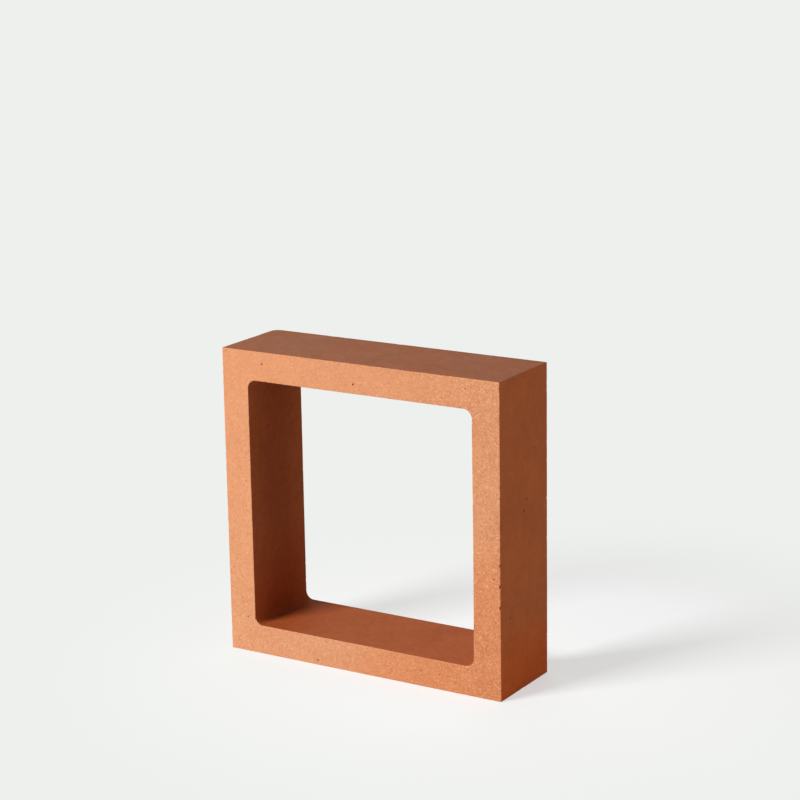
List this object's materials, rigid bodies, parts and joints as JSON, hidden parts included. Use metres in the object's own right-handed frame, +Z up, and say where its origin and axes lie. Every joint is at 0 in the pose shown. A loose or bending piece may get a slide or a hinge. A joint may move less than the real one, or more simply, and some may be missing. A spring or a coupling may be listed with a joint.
{
  "type": "breeze block",
  "caption": "Square breeze block of terracotta-coloured cast concrete: a plain frame around a large square opening with rounded corners.",
  "frame": {"origin": "middle of the bed face, the underside that the block stands on", "axes": "+X across the face to the right, +Y from the front face to the back face, +Z up"},
  "size_m": [0.3, 0.089, 0.3],
  "materials": {
    "concrete": "matte"
  },
  "bodies": {
    "root": {"breeze_block": "concrete"}
  },
  "joints": []
}
